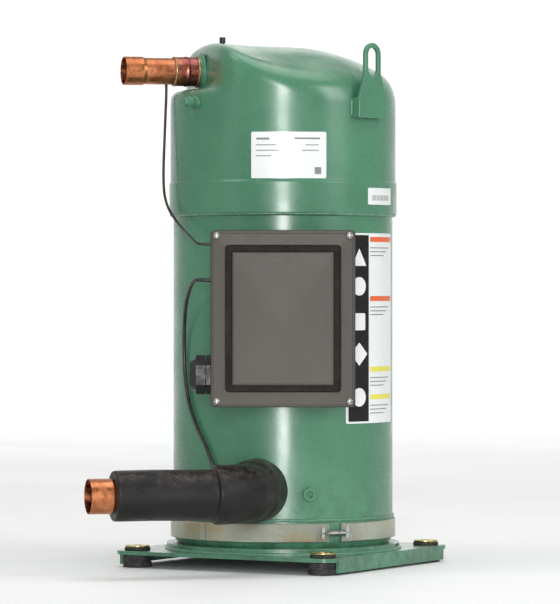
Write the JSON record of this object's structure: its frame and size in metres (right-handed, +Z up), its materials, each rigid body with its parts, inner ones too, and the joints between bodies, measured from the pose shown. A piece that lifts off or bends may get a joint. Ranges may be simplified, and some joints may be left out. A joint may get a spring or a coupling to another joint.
{
  "type": "hermetic scroll compressor",
  "caption": "Upright hermetic scroll compressor with raised discharge cap, terminal box, lagged suction elbow and rubber feet.",
  "frame": {"origin": "on the shell axis, at the centre of the four mounting holes, in the plane of the mounts' undersides", "axes": "+Z up along the shell axis, -Y towards the front that carries the terminal box, +X to the right of the front"},
  "size_m": [0.4675, 0.5227, 0.696],
  "materials": {
    "green_paint": "gloss",
    "steel": "machined",
    "copper_tube": "drawn copper, lightly heat-tinted",
    "foam_rubber": "closed-cell foam, matte",
    "box_plastic": "moulded, satin",
    "black_plastic": "satin",
    "lead_jacket": "satin",
    "rubber": "matte",
    "brass": "satin",
    "white_label": "laminated film",
    "heater_sheath": "braided",
    "sight_glass": "clear",
    "yellow_zinc": "yellow zinc plate",
    "cast_iron": "machined",
    "bearing_bronze": "machined",
    "winding_copper": "enamelled wire, varnished",
    "sintered_metal": "matte"
  },
  "bodies": {
    "casing": {"main_shell": "green_paint", "top_cap": "green_paint", "bottom_cap": "green_paint", "base_plate": "green_paint", "lifting_lug_front": "green_paint", "lifting_lug_rear": "green_paint", "discharge_fitting": "green_paint", "discharge_coupling": "copper_tube", "discharge_tube": "copper_tube", "suction_fitting": "green_paint", "suction_tube": "copper_tube", "suction_insulation": "foam_rubber", "terminal_box": "box_plastic", "box_gasket": "rubber", "box_cover": "box_plastic", "cover_screws": "steel", "cable_gland": "black_plastic", "gland_nut": "black_plastic", "gland_locknut": "black_plastic", "lead_grommets": "rubber", "terminal_plate": "steel", "terminal_studs": "brass", "motor_protector": "black_plastic", "nameplate": "white_label", "serial_label": "white_label", "safety_label": "white_label", "crankcase_heater": "heater_sheath", "heater_spring": "steel", "heater_lead": "lead_jacket", "discharge_sensor": "black_plastic", "sensor_lead": "lead_jacket", "service_port": "green_paint", "service_port_cap": "green_paint", "top_test_plug": "black_plastic", "oil_drain_plug": "green_paint", "sight_glass_body": "green_paint", "sight_glass_lens": "sight_glass", "equalizer_fitting": "green_paint", "equalizer_cap": "brass", "mounting_grommets": "rubber", "mounting_sleeves": "yellow_zinc", "separator_plate": "steel", "fixed_scroll": "cast_iron", "scroll_bolts": "steel", "valve_guard": "steel", "main_frame": "cast_iron", "main_bearing": "bearing_bronze", "lower_bearing_bracket": "cast_iron", "lower_bearing": "bearing_bronze", "stator_core": "steel", "stator_windings": "winding_copper"},
    "crank": {"crankshaft": "steel", "rotor": "steel", "balance_weights": "brass", "drive_bush": "bearing_bronze", "oil_pickup": "steel"},
    "orbiter": {"orbiting_scroll": "cast_iron", "hub_bearing": "bearing_bronze"},
    "oldham": {"oldham_ring": "sintered_metal"},
    "check_valve": {"check_valve_disc": "steel"}
  },
  "joints": [
    {"name": "crankshaft_spin", "type": "hinge", "parent": "casing", "child": "crank", "pos_m": [0, 0, 0.3], "axis": [0, 0, 1], "continuous": true},
    {"name": "scroll_orbit", "type": "hinge", "parent": "crank", "child": "orbiter", "pos_m": [0, 0.0051, 0.465], "axis": [0, 0, 1], "continuous": true},
    {"name": "oldham_slide", "type": "slide", "parent": "casing", "child": "oldham", "axis": [1, 0, 0], "range_m": [-0.0051, 0.0051]},
    {"name": "check_valve_lift", "type": "slide", "parent": "casing", "child": "check_valve", "axis": [0, 0, 1], "range_m": [0, 0.005]}
  ],
  "couplings": [
    {"joint": "scroll_orbit", "follows": "crankshaft_spin", "ratio": -1}
  ]
}
